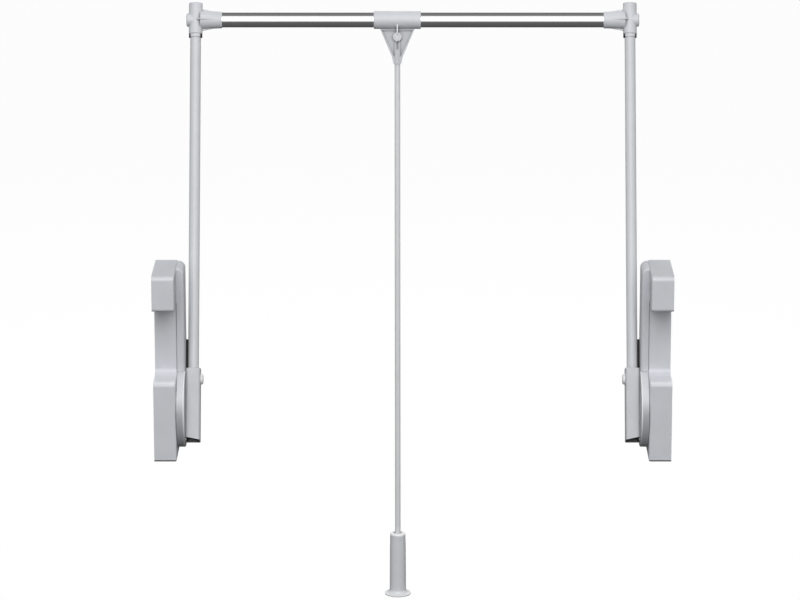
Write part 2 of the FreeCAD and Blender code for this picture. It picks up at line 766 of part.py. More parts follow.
def rack(label):
    """Toothed bar that the pinion lifts, with the spring's lower seat on top."""
    body = new_body(label)
    bar = new_sketch(body, label + "_bar", "YZ_Plane", GEAR_START)
    polygon(bar, rectangle(ROOT_LINE, "-rack_below", "rack_back", "spring_low - seat_thickness"))
    pad(body, bar, "gear_width")
    tooth = new_sketch(body, label + "_tooth", "YZ_Plane", GEAR_START)
    half = "(pi * gear_module / 4 - gear_backlash / 4)"
    slope = "tan(pressure_angle)"
    low = "%s + gear_dedendum * gear_module * %s" % (half, slope)
    high = "%s - rack_addendum * gear_module * %s" % (half, slope)
    line = PITCH_RADIUS + " - rack_addendum * gear_module"
    first = "(pi * gear_module)"
    polygon(tooth, [(ROOT_LINE, "%s + %s" % (first, low)), (line, "%s + %s" % (first, high)),
                    (line, "%s - (%s)" % (first, high)), (ROOT_LINE, "%s - (%s)" % (first, low))])
    tooth_pad = pad(body, tooth, "gear_width")
    doc.recompute()
    row = body.newObject("PartDesign::LinearPattern", label + "_teeth")
    row.Originals = [tooth_pad]
    row.Direction = (tooth, ["V_Axis"])
    row.Reversed = True
    row.setExpression("Length", bound("pi * gear_module * (rack_tooth_count - 1)"))
    row.setExpression("Occurrences", bound("rack_tooth_count"))
    body.Tip = row
    seat = new_sketch(body, label + "_seat", "XY_Plane", "spring_low - seat_thickness")
    circle(seat, SPRING_AXIS, "spring_axis_back", "spring_diameter / 2")
    pad(body, seat, "seat_thickness")
    spigot = new_sketch(body, label + "_spigot", "XY_Plane", "spring_low")
    circle(spigot, SPRING_AXIS, "spring_axis_back", "seat_spigot / 2")
    pad(body, spigot, "seat_spigot_height")
    hole = new_sketch(body, label + "_hole", "XY_Plane", "spring_low + seat_spigot_height")
    circle(hole, SPRING_AXIS, "spring_axis_back", "piston_rod_diameter / 2 + running_fit")
    pocket(body, hole, "seat_spigot_height + piston_rod_seat")
    return body


def rack_guide(label):
    """Angle-shaped slide block on the wall plate, beside and behind the rack."""
    body = new_body(label)
    section = new_sketch(body, label + "_section", "XY_Plane", "-guide_half_height")
    side = GEAR_START + " - guide_gap"
    behind = "rack_back + guide_gap"
    end = GEAR_END + " + guide_gap"
    polygon(section, [("plate_thickness", "guide_front"), (side, "guide_front"), (side, behind),
                      (end, behind), (end, "guide_back"), ("plate_thickness", "guide_back")])
    pad(body, section, "2 * guide_half_height")
    return body


# ---------------------------------------------------------------- spring and damper

SPRING_STEPS = 12                # flat stretches to one turn of the spring


def lift_spring(label):
    """Flat-strip compression spring with closed ends, round the damper."""
    outer = size("spring_diameter") / 2
    strip = size("spring_strip")
    turns = size("spring_turns")
    low = size("spring_low")
    span = size("spring_high") - low - strip
    closed = size("spring_closed_turns") / turns
    closed_slope = size("spring_closed_rise") / closed
    steps = int(round(turns * SPRING_STEPS))
    sections = []
    for step in range(steps + 1):
        part = step / steps
        ease = min(max((part - closed) / (1.0 - 2.0 * closed), 0.0), 1.0)
        height = low + closed_slope * part + (span - closed_slope) * ease
        direction = FreeCAD.Rotation(Vector(0, 0, 1), 360.0 * turns * part).multVec(Vector(1, 0, 0))
        inner_point = direction * (outer - strip)
        outer_point = direction * outer
        corners = [inner_point + Vector(0, 0, height), outer_point + Vector(0, 0, height),
                   outer_point + Vector(0, 0, height + strip), inner_point + Vector(0, 0, height + strip)]
        sections.append(Part.makePolygon(corners + corners[:1]))
    feature = doc.addObject("Part::Feature", label)
    feature.Label = label
    feature.Shape = Part.makeLoft(sections, True, True)
    feature.setExpression("Placement.Base.x", bound(SPRING_AXIS))
    feature.setExpression("Placement.Base.y", bound("spring_axis_back"))
    return feature


def at_spring(body):
    """Carry a piece that is drawn about the upright axis to the spring's axis."""
    body.setExpression("Placement.Base.x", bound(SPRING_AXIS))
    body.setExpression("Placement.Base.y", bound("spring_axis_back"))
    return body


def damper_body(label):
    """Damper cylinder hung from the spring anchor, open below round the piston rod."""
    inner = "damper_diameter / 2 - damper_wall"
    outer = "damper_diameter / 2"
    rod = "piston_rod_diameter / 2 + running_fit"
    stud = "damper_stud / 2"
    top = "spring_high"
    profile = [("damper_low", rod), ("damper_low", outer), (top, outer), (top, stud),
               (top + " + anchor_thickness", stud), (top + " + anchor_thickness", "0"),
               (top + " - damper_cap", "0"), (top + " - damper_cap", inner),
               ("damper_low + damper_cap", inner), ("damper_low + damper_cap", rod)]
    return at_spring(turned(label, profile, "XZ_Plane", "V_Axis"))


def piston_rod(label):
    """Damper rod seated in the rack's top, with the piston on its upper end."""
    rod = "piston_rod_diameter / 2"
    piston = "damper_diameter / 2 - damper_wall - piston_gap"
    foot = "spring_low - piston_rod_seat"
    under = "piston_height - piston_thickness"
    profile = [(foot, "0"), (foot, rod), (under, rod), (under, piston),
               ("piston_height", piston), ("piston_height", "0")]
    return at_spring(turned(label, profile, "XZ_Plane", "V_Axis"))


def spring_anchor(label):
    """Shelf on the wall plate that the spring presses against and the damper hangs from."""
    body = new_body(label)
    shelf = new_sketch(body, label + "_shelf", "XY_Plane", "spring_high")
    reach = "spring_diameter / 2 + anchor_margin"
    polygon(shelf, rectangle("plate_thickness", "spring_axis_back - (%s)" % reach,
                             SPRING_AXIS + " + " + reach, "spring_axis_back + " + reach))
    pad(body, shelf, "anchor_thickness")
    hole = new_sketch(body, label + "_hole", "XY_Plane", "spring_high")
    circle(hole, SPRING_AXIS, "spring_axis_back", "damper_stud / 2 + running_fit")
    pocket(body, hole, forward=True)
    return body


# ---------------------------------------------------------------- arm

def arm_bracket(label):
    """Folded steel box on the hub that holds the arm, cut aslant at its open foot."""
    body = new_body(label)
    outline = new_sketch(body, label + "_outline", "XY_Plane", "-bracket_below - bracket_slant")
    half = "bracket_depth / 2"
    polygon(outline, rectangle(ARM_SEAT, "-" + half, ARM_SEAT + " + bracket_width", half))
    pad(body, outline, "bracket_above + bracket_below + bracket_slant")
    near = sheet_value(ARM_SEAT)
    far = near + size("bracket_width")
    side = size("bracket_depth") / 2
    for index, (across, back) in enumerate(((near, -side), (near, side), (far, -side), (far, side))):
        round_edges(body, "%s_corner_%d" % (label, index), "bracket_corner", x=across, y=back)
    hollow = new_sketch(body, label + "_hollow", "XY_Plane", "-bracket_below - bracket_slant")
    polygon(hollow, rectangle(ARM_SEAT + " + bracket_wall", "-%s + bracket_wall" % half,
                              ARM_SEAT + " + bracket_width - bracket_wall", half + " - bracket_wall"))
    pocket(body, hollow, forward=True)
    wall = size("bracket_wall")
    inner = ((near + wall, wall - side), (near + wall, side - wall),
             (far - wall, wall - side), (far - wall, side - wall))
    for index, (across, back) in enumerate(inner):
        round_edges(body, "%s_inner_%d" % (label, index), "bracket_corner - bracket_wall", x=across, y=back)
    slant = new_sketch(body, label + "_slant", "YZ_Plane", ARM_SEAT)
    polygon(slant, [("-" + half, "-bracket_below"), ("-" + half, "-bracket_below - bracket_slant"),
                    (half, "-bracket_below - bracket_slant")])
    pocket(body, slant, forward=True)
    front_cut = new_sketch(body, label + "_front_cut", "XZ_Plane", "bracket_depth / 2 - bracket_corner")
    low = "-bracket_below - bracket_slant"
    polygon(front_cut, [(ARM_SEAT, "-bracket_below + bracket_front_slant"),
                        (ARM_SEAT + " + bracket_width", "-bracket_below"),
                        (ARM_SEAT + " + bracket_width", low), (ARM_SEAT, low)])
    pocket(body, front_cut, forward=True)
    holes = new_sketch(body, label + "_shaft_holes", "YZ_Plane", ARM_SEAT)
    square_drive(holes, "running_fit")
    bracket_screw_circles(holes, "bracket_screw_diameter / 2 + running_fit")
    pocket(body, holes, "bracket_wall", forward=True)
    cross = new_sketch(body, label + "_cross_hole", "YZ_Plane", ARM_SEAT)
    circle(cross, "0", "arm_screw_height", "arm_screw_diameter / 2 + screw_fit")
    pocket(body, cross, forward=True)
    return leaning(body)


def arm_insert(label):
    """Moulded filler that centres the round arm in the square bracket."""
    body = new_body(label)
    outline = new_sketch(body, label + "_outline", "XY_Plane", "insert_low")
    near = ARM_SEAT + " + bracket_wall + insert_gap"
    far = ARM_SEAT + " + bracket_width - bracket_wall - insert_gap"
    half = "(bracket_depth / 2 - bracket_wall - insert_gap)"
    polygon(outline, rectangle(near, "-" + half, far, half))
    pad(body, outline, "bracket_above - insert_top_drop - insert_low")
    rim = sheet_value("bracket_wall + insert_gap")
    low_x = sheet_value(ARM_SEAT) + rim
    high_x = sheet_value(ARM_SEAT) + size("bracket_width") - rim
    side = size("bracket_depth") / 2 - rim
    for index, (across, back) in enumerate(((low_x, -side), (low_x, side), (high_x, -side), (high_x, side))):
        round_edges(body, "%s_corner_%d" % (label, index), "bracket_corner - bracket_wall", x=across, y=back)
    bore = new_sketch(body, label + "_bore", "XY_Plane", "insert_low")
    circle(bore, ARM_AXIS, "0", "arm_diameter / 2 + running_fit")
    pocket(body, bore, forward=True)
    cross = new_sketch(body, label + "_cross_hole", "YZ_Plane", ARM_SEAT)
    circle(cross, "0", "arm_screw_height", "arm_screw_diameter / 2 + screw_fit")
    pocket(body, cross, forward=True)
    return leaning(body)


def arm_tube(label):
    """Round tube from the bracket up into the corner connector, drilled at both ends."""
    body = new_body(label)
    section = new_sketch(body, label + "_section", "XY_Plane", "insert_low")
    circle(section, ARM_AXIS, "0", "arm_diameter / 2")
    circle(section, ARM_AXIS, "0", "arm_diameter / 2 - arm_tube_wall")
    pad(body, section, "arm_reach + arm_top - insert_low")
    cross = new_sketch(body, label + "_holes", "YZ_Plane", ARM_SEAT)
    circle(cross, "0", "arm_screw_height", "arm_screw_diameter / 2 + screw_fit")
    circle(cross, "0", "arm_reach", "connector_screw_diameter / 2 + screw_fit")
    pocket(body, cross, forward=True)
    return leaning(body)


def arm_screw(label):
    """Dome-headed screw across the bracket and the arm, with a key socket."""
    body = new_body(label)
    profile = new_sketch(body, label + "_profile", "XZ_Plane")
    seat = ARM_SEAT + " + bracket_width"
    polygon(profile, [(ARM_SEAT + " + screw_fit", "0"), (ARM_SEAT + " + screw_fit", "arm_screw_diameter / 2"),
                      (seat, "arm_screw_diameter / 2"), (seat, "arm_screw_head / 2"),
                      (seat + " + arm_screw_rise", "arm_screw_head / 2"), (seat + " + arm_screw_rise", "0")])
    turn(body, profile)
    round_edges(body, label + "_dome", "arm_screw_dome", x=sheet_value(seat + " + arm_screw_rise"), y=0.0,
                z=size("arm_screw_head") / 2)
    socket = new_sketch(body, label + "_socket", "YZ_Plane", seat + " + arm_screw_rise")
    across = "arm_screw_socket / 2"
    corner = "arm_screw_socket / 4"
    tall = "arm_screw_socket / 2 * sin(60)"
    polygon(socket, [(across, "0"), (corner, tall), ("-" + corner, tall),
                     ("-" + across, "0"), ("-" + corner, "-" + tall), (corner, "-" + tall)])
    pocket(body, socket, "arm_screw_socket_depth")
    leaning(body)
    body.setExpression("Placement.Base.y", bound("arm_screw_height * sin(arm_lean)"))
    body.setExpression("Placement.Base.z", bound("arm_screw_height * cos(arm_lean)"))
    return body


def bracket_screws(label):
    """Two screws that hold the bracket to the hub disc."""
    body = new_body(label)
    body.AllowCompound = True
    shanks = new_sketch(body, label + "_shanks", "YZ_Plane", ARM_SEAT + " - disc_web")
    bracket_screw_circles(shanks, "bracket_screw_diameter / 2")
    pad(body, shanks, "disc_web + bracket_wall + bracket_screw_rise")
    heads = new_sketch(body, label + "_heads", "YZ_Plane", ARM_SEAT + " + bracket_wall")
    bracket_screw_circles(heads, "bracket_screw_head / 2")
    pad(body, heads, "bracket_screw_rise")
    return leaning(body)


# ---------------------------------------------------------------- corner connector

def connector(label):
    """Moulded corner: a barrel for the arm, a tapered socket for the rail and gusset ribs."""
    body = new_body(label)
    barrel = new_sketch(body, label + "_barrel", "XZ_Plane")
    wide = "barrel_diameter / 2"
    neck = "collar_diameter / 2"
    polygon(barrel, [("0", "-barrel_below - collar_drop"), (neck, "-barrel_below - collar_drop"),
                     (neck, "-barrel_below"), (wide, "-barrel_below + barrel_foot_edge"),
                     (wide, "barrel_above"), ("0", "barrel_above")])
    turn(body, barrel, "V_Axis")
    round_edges(body, label + "_crown", "barrel_edge", x=size("barrel_diameter") / 2, y=0.0,
                z=size("barrel_above"))
    socket = new_sketch(body, label + "_socket", "XZ_Plane")
    polygon(socket, [("socket_start", "0"), ("socket_start", "socket_root / 2"),
                     ("socket_reach - socket_edge", "socket_mouth / 2"),
                     ("socket_reach", "socket_mouth / 2 - socket_edge"), ("socket_reach", "0")])
    turn(body, socket)
    boss = new_sketch(body, label + "_boss", "XZ_Plane")
    polygon(boss, [("-boss_reach", "0"), ("-boss_reach", "boss_diameter / 2"),
                   ("0", "boss_diameter / 2"), ("0", "0")])
    turn(body, boss)
    upright_rib = new_sketch(body, label + "_upright_rib", "XZ_Plane")
    tip = "socket_mouth / 2"
    polygon(upright_rib, [("0", "rib_height"), ("rib_reach", tip),
                          ("rib_reach", "-" + tip), ("0", "-rib_height")])
    pad(body, upright_rib, "rib_thickness", both_ways=True)
    level_rib = new_sketch(body, label + "_level_rib", "XY_Plane")
    polygon(level_rib, [("0", "barrel_diameter / 2 - barrel_edge"), ("rib_side_start", "rib_side_height"),
                        ("rib_reach", tip), ("rib_reach", "-" + tip),
                        ("rib_side_start", "-rib_side_height"), ("0", "-barrel_diameter / 2 + barrel_edge")])
    pad(body, level_rib, "rib_thickness", both_ways=True)
    arm_bore = new_sketch(body, label + "_arm_bore", "XY_Plane", "-barrel_below - collar_drop")
    circle(arm_bore, "0", "0", "arm_diameter / 2 + running_fit")
    pocket(body, arm_bore, "barrel_below + collar_drop + arm_top + running_fit", forward=True)
    liner_bore = new_sketch(body, label + "_liner_bore", "XY_Plane", "-barrel_below - collar_drop")
    circle(liner_bore, "0", "0", "liner_diameter / 2 + running_fit")
    pocket(body, liner_bore, "liner_depth + running_fit", forward=True)
    notch = new_sketch(body, label + "_notch", "XY_Plane", "-barrel_below - collar_drop")
    gap_width = "(lug_width / 2 + screw_fit)"
    polygon(notch, rectangle("-barrel_diameter", "-" + gap_width, "barrel_diameter", gap_width))
    pocket(body, notch, "collar_drop", forward=True)
    rail_bore = new_sketch(body, label + "_rail_bore", "YZ_Plane", "socket_floor")
    circle(rail_bore, "0", "0", "rail_diameter / 2 + running_fit")
    pocket(body, rail_bore, forward=True)
    cap_bore = new_sketch(body, label + "_cap_bore", "YZ_Plane", "-boss_reach")
    circle(cap_bore, "0", "0", "boss_bore / 2")
    pocket(body, cap_bore, "boss_reach - boss_floor", forward=True)
    screw_hole = new_sketch(body, label + "_screw_hole", "YZ_Plane", "-boss_reach")
    circle(screw_hole, "0", "0", "connector_screw_diameter / 2 + screw_fit")
    pocket(body, screw_hole, forward=True)
    return at_rail(body, ARM_AXIS)


def liner_bush(label):
    """Black liner between arm and connector; its two broad lugs fill the collar's notches."""
    body = new_body(label)
    foot = "-barrel_below - collar_drop"
    lugs = new_sketch(body, label + "_lugs", "XY_Plane", foot + " - lug_drop")
    circle(lugs, "0", "0", "lug_diameter / 2")
    pad(body, lugs, "collar_drop + lug_drop - screw_fit")
    flats = new_sketch(body, label + "_flats", "XY_Plane", foot + " - lug_drop")
    polygon(flats, rectangle("-lug_diameter", "lug_width / 2", "lug_diameter", "lug_diameter"))
    polygon(flats, rectangle("-lug_diameter", "-lug_diameter", "lug_diameter", "-lug_width / 2"))
    pocket(body, flats, forward=True)
    tube = new_sketch(body, label + "_tube", "XY_Plane", foot)
    circle(tube, "0", "0", "liner_diameter / 2")
    pad(body, tube, "liner_depth")
    bore = new_sketch(body, label + "_bore", "XY_Plane", foot + " - lug_drop")
    circle(bore, "0", "0", "arm_diameter / 2 + running_fit")
    pocket(body, bore, forward=True)
    return at_rail(body, ARM_AXIS)


def connector_cap(label):
    """Round cap on the connector's outer boss, with a ring spigot round the screw head."""
    face = "-boss_reach - cap_thickness"
    spigot = "boss_bore / 2 - screw_fit"
    hollow = spigot + " - cap_spigot_wall"
    body = turned(label, [(face, "0"), (face, "boss_diameter / 2"), ("-boss_reach", "boss_diameter / 2"),
                          ("-boss_reach", spigot), ("-boss_reach + cap_spigot", spigot),
                          ("-boss_reach + cap_spigot", hollow), ("-boss_reach", hollow),
                          ("-boss_reach", "0")])
    round_edges(body, label + "_edge", "cap_edge", x=-size("boss_reach") - size("cap_thickness"), y=0.0,
                z=size("boss_diameter") / 2)
    return at_rail(body, ARM_AXIS)


def connector_screw(label):
    """Screw under the cap, through the connector and both walls of the arm."""
    shank = "connector_screw_diameter / 2"
    body = turned(label, [("-boss_reach", "0"), ("-boss_reach", "connector_screw_head / 2"),
                          ("-boss_floor", "connector_screw_head / 2"), ("-boss_floor", shank),
                          ("socket_floor - running_fit", shank), ("socket_floor - running_fit", "0")])
    return at_rail(body, ARM_AXIS)


# ---------------------------------------------------------------- rail

LEFT_RAIL_START = "(%s + socket_floor)" % ARM_AXIS
RIGHT_RAIL_END = "(overall_width - %s)" % LEFT_RAIL_START


def rail_tube(label, start, end, diameter, wall):
    """A plain tube about the rail axis."""
    body = turned(label, ring(start, end, "%s / 2 - %s" % (diameter, wall), diameter + " / 2"))
    return at_rail(body, "0")


# ---------------------------------------------------------------- sleeve and pull rod

def gusset_corners(inset):
    """Half outline of the triangular bracket, mirrored about the rod."""
    top = "(gusset_top / 2 - %s)" % inset
    waist = "(gusset_waist / 2 - %s)" % inset
    return top, waist


def sleeve(label):
    """Sleeve round the rail with a webbed triangular bracket and the rod's socket below."""
    body = new_body(label)
    barrel = new_sketch(body, label + "_barrel", "XZ_Plane")
    half = "sleeve_length / 2"
    polygon(barrel, [("-" + half, "0"), ("-" + half, "sleeve_diameter / 2"),
                     (half, "sleeve_diameter / 2"), (half, "0")])
    turn(body, barrel)
    for side in (-1, 1):
        round_edges(body, "%s_end_%d" % (label, side + 1), "sleeve_edge",
                    x=side * size("sleeve_length") / 2, y=0.0, z=size("sleeve_diameter") / 2)
    gusset = new_sketch(body, label + "_gusset", "XZ_Plane")
    top, waist = gusset_corners("0")
    foot = "gusset_foot / 2"
    polygon(gusset, [("-" + top, "-rail_diameter / 2"), (top, "-rail_diameter / 2"),
                     (waist, "-gusset_waist_drop"), (foot, "-gusset_drop"),
                     ("-" + foot, "-gusset_drop"), ("-" + waist, "-gusset_waist_drop")])
    pad(body, gusset, "gusset_thickness", both_ways=True)
    top, waist = gusset_corners("gusset_rim")
    recess_top = "-sleeve_diameter / 2 - gusset_rim / 2"
    for name, offset in (("front", "gusset_thickness / 2"), ("back", "-gusset_thickness / 2")):
        recess = new_sketch(body, "%s_%s_recess" % (label, name), "XZ_Plane", offset)
        polygon(recess, [("-" + top, recess_top), (top, recess_top), (waist, "-gusset_waist_drop"),
                         ("-" + waist, "-gusset_waist_drop")])
        pocket(body, recess, "(gusset_thickness - gusset_web) / 2", forward=name == "back")
    socket = new_sketch(body, label + "_socket", "XZ_Plane")
    polygon(socket, [("0", "-rod_socket_top"), ("gusset_foot / 2", "-rod_socket_top - gusset_rim"),
                     ("gusset_foot / 2", "-gusset_drop"), ("0", "-gusset_drop")])
    turn(body, socket, "V_Axis")
    boss = new_sketch(body, label + "_boss", "XZ_Plane")
    circle(boss, "0", "-pin_drop", "pin_boss / 2")
    pad(body, boss, "pin_boss_depth", both_ways=True)
    fin = new_sketch(body, label + "_fin", "YZ_Plane")
    foot = "-(pin_drop - pin_head / 2 - plate_gap)"
    polygon(fin, [("-fin_root", "-fin_top"), ("-fin_front", "-fin_shoulder"), ("-fin_front", foot),
                  ("0", foot), ("0", "-fin_top")])
    pad(body, fin, "fin_thickness", both_ways=True)
    rail_bore = new_sketch(body, label + "_rail_bore", "YZ_Plane")
    circle(rail_bore, "0", "0", "rail_diameter / 2 + sleeve_fit")
    pocket(body, rail_bore, both_ways=True)
    rod_bore = new_sketch(body, label + "_rod_bore", "XY_Plane", "-gusset_drop")
    circle(rod_bore, "0", "0", "rod_diameter / 2 + running_fit")
    pocket(body, rod_bore, "gusset_drop - rod_top_drop + running_fit", forward=True)
    pin_hole = new_sketch(body, label + "_pin_hole", "XZ_Plane")
    circle(pin_hole, "0", "-pin_drop", "pin_diameter / 2 + screw_fit")
    pocket(body, pin_hole, both_ways=True)
    slot = new_sketch(body, label + "_slot", "XZ_Plane")
    polygon(slot, rectangle("-slot_width / 2", "-slot_bottom", "slot_width / 2", "-slot_top"))
    pocket(body, slot, "gusset_thickness", forward=True)
    return under_rail(body)


def sleeve_screw(label):
    """Pan-headed screw through the sleeve's boss and the rod's upper end."""
    face = "pin_boss_depth / 2"
    front = "-%s - pin_head_rise" % face
    groove_floor = front + " + pin_groove_depth"
    shank = "pin_diameter / 2"
    body = turned(label, [(front, "0"), (front, "pin_groove / 2"), (groove_floor, "pin_groove / 2"),
                          (groove_floor, "pin_groove / 2 + pin_groove_width"),
                          (front, "pin_groove / 2 + pin_groove_width"), (front, "pin_head / 2"),
                          ("-" + face, "pin_head / 2"), ("-" + face, shank), (face, shank),
                          (face, "pin_nut / 2"), (face + " + pin_head_rise", "pin_nut / 2"),
                          (face + " + pin_head_rise", "0")], "YZ_Plane")
    round_edges(body, label + "_edge", "pin_head_edge", x=0.0, z=size("pin_head") / 2,
                y=-size("pin_boss_depth") / 2 - size("pin_head_rise"))
    under_rail(body)
    body.setExpression("Placement.Base.z", bound(RAIL_UP + " - pin_drop"))
    return body


def pull_rod(label):
    """Thin tube from the sleeve's screw down into the handle, slotted behind the sleeve's slot."""
    outer = "rod_diameter / 2"
    body = turned(label, ring("-" + ROD_FOOT, "-rod_top_drop", outer + " - rod_wall", outer),
                  "XZ_Plane", "V_Axis")
    cross = new_sketch(body, label + "_cross_hole", "XZ_Plane")
    circle(cross, "0", "-pin_drop", "pin_diameter / 2 + screw_fit")
    pocket(body, cross, both_ways=True)
    slot = new_sketch(body, label + "_slot", "XZ_Plane")
    polygon(slot, rectangle("-slot_width / 2 + screw_fit", "-slot_bottom + screw_fit",
                            "slot_width / 2 - screw_fit", "-slot_top - screw_fit"))
    pocket(body, slot, forward=True)
    return under_rail(body)


GRIP_RINGS = 3


def pull_handle(label):
    """Hollow grip, open at the top round the rod, with grip rings and a flared foot."""
    bore = "handle_bore / 2"
    flange = "handle_flange / 2"
    flange_top = "-(%s - flange_thickness)" % HANDLE_BOTTOM
    body = turned(label, [("-handle_top", bore), ("-handle_top", "handle_neck / 2"),
                          ("-(handle_top + handle_length / 4)", "handle_waist / 2"),
                          (flange_top, "handle_foot / 2"), (flange_top, flange),
                          ("-" + HANDLE_BOTTOM, flange), ("-" + HANDLE_BOTTOM, "0"),
                          ("-" + HANDLE_FLOOR, "0"), ("-" + HANDLE_FLOOR, bore)], "XZ_Plane", "V_Axis")
    top = -size("handle_top")
    bottom = top - size("handle_length")
    rim = bottom + size("flange_thickness")
    round_edges(body, label + "_lip", "handle_lip", x=size("handle_neck") / 2, y=0.0, z=top)
    round_edges(body, label + "_flare", "flange_flare", x=size("handle_foot") / 2, y=0.0, z=rim)
    round_edges(body, label + "_rim", "flange_edge", x=size("handle_flange") / 2, y=0.0, z=rim)
    round_edges(body, label + "_sole", "flange_edge", x=size("handle_flange") / 2, y=0.0, z=bottom)
    rings = new_sketch(body, label + "_rings", "XZ_Plane")
    for index in range(GRIP_RINGS):
        high = "-(handle_top + grip_ring_first + %d * grip_ring_pitch)" % index
        near = "(handle_neck / 2 - grip_ring_depth)"
        polygon(rings, rectangle(near, high + " - grip_ring_width", "handle_waist", high))
    groove = body.newObject("PartDesign::Groove", label + "_ring_grooves")
    groove.Profile = rings
    groove.ReferenceAxis = (rings, ["V_Axis"])
    groove.Angle = 360.0
    return under_rail(body)


def handle_plug(label):
    """Plug that fixes the rod's end inside the handle."""
    body = turned(label, ring("-" + ROD_FOOT, "-(handle_top + plug_drop)", "rod_diameter / 2 + running_fit",
                              "handle_bore / 2 - running_fit"), "XZ_Plane", "V_Axis")
    return under_rail(body)


# ---------------------------------------------------------------- assembly

BUILDERS = [
    ("wall_plate", wall_plate), ("casing", casing), ("spine_cover", spine_cover),
    ("outer_bush", outer_bush), ("inner_bush", inner_bush), ("spring_anchor", spring_anchor),
    ("damper_body", damper_body), ("lift_spring", lift_spring), ("rack_guide", rack_guide),
    ("rest_stop", rest_stop), ("rack", rack), ("piston_rod", piston_rod), ("hub_disc", hub_disc),
    ("pivot_shaft", pivot_shaft), ("shaft_clip", shaft_clip), ("pinion", pinion),
    ("arm_bracket", arm_bracket), ("bracket_screws", bracket_screws), ("arm_insert", arm_insert),
    ("arm_tube", arm_tube), ("arm_screw", arm_screw), ("connector", connector),
    ("liner_bush", liner_bush), ("connector_cap", connector_cap),
    ("connector_screw", connector_screw),
]

nodes = []
for name, build in BUILDERS:
    left = build("left_" + name)
    right = doc.addObject("Part::Mirroring", "right_" + name)
    right.Label = "right_" + name
    right.Source = left
    right.Normal = Vector(1, 0, 0)
    right.setExpression("Base.x", bound("overall_width / 2"))
    nodes += [left, right]

RAIL_SIZE = ("rail_diameter", "rail_wall")
INNER_RAIL_SIZE = ("inner_rail_diameter", "inner_rail_wall")
LEFT_RAIL_END = SLEEVE_AXIS + " - rail_joint_gap / 2"
RIGHT_RAIL_START = SLEEVE_AXIS + " + rail_joint_gap / 2"
nodes.append(rail_tube("left_rail_tube", LEFT_RAIL_START, LEFT_RAIL_END, *RAIL_SIZE))
nodes.append(rail_tube("right_rail_tube", RIGHT_RAIL_START, RIGHT_RAIL_END, *RAIL_SIZE))
nodes.append(rail_tube("inner_rail_tube", LEFT_RAIL_START + " + inner_rail_inset",
                       RIGHT_RAIL_END + " - inner_rail_clear", *INNER_RAIL_SIZE))
for name, build in (("sleeve", sleeve), ("sleeve_screw", sleeve_screw), ("pull_rod", pull_rod),
                    ("pull_handle", pull_handle), ("handle_plug", handle_plug)):
    nodes.append(build(name))

doc.recompute()
for item in doc.Objects:
    if "Invalid" in item.State or "Error" in item.State:
        raise ValueError("%s is %s" % (item.Name, item.State))
os.makedirs("parts", exist_ok=True)
for node in nodes:
    if node.Shape.isNull() or not node.Shape.isValid():
        raise ValueError("no sound shape for " + node.Label)
    node.Shape.exportStep("parts/%s.step" % node.Label)
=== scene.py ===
"""Studio scene for the pull down closet rod: materials for every piece, lights, floor and camera."""

import math

import bpy
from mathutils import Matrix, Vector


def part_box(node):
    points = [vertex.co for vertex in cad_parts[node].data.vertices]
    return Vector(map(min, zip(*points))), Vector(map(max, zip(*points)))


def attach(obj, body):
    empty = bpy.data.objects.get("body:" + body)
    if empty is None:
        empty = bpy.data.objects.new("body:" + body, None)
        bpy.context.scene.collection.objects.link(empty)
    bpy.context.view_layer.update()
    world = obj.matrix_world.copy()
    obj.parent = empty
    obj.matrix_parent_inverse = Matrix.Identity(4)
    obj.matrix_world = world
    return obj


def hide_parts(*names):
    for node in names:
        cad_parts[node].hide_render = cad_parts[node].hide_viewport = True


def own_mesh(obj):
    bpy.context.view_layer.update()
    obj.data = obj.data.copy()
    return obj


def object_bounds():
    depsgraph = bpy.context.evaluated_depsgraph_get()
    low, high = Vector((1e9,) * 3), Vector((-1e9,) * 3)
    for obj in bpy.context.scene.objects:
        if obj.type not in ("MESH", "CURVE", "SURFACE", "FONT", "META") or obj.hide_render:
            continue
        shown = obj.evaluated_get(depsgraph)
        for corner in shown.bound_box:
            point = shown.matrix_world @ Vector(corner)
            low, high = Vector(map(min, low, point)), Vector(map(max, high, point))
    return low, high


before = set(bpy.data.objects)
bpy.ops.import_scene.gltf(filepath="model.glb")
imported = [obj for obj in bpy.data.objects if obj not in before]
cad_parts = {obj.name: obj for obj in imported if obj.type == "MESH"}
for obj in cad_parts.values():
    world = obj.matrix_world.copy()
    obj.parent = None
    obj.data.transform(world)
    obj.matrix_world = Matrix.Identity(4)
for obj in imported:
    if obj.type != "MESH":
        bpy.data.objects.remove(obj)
cad_low, cad_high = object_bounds()
MIDDLE = tuple((low + high) / 2 for low, high in zip(cad_low, cad_high))

# ---------------------------------------------------------------- view of the photograph, metres

CAMERA_PLACE = (0.427, -6.410, 1.7716)
CAMERA_PITCH = math.radians(13.9)
CAMERA_LENS = 180.0
SENSOR_WIDTH = 36.0
PICTURE_WIDTH = 800.0
MIDDLE_OFFSET = 12.8            # pixels that the object's middle stands right of the picture's
VIEW_REACH = 200.0

# ---------------------------------------------------------------- floor, sky and reflector cards

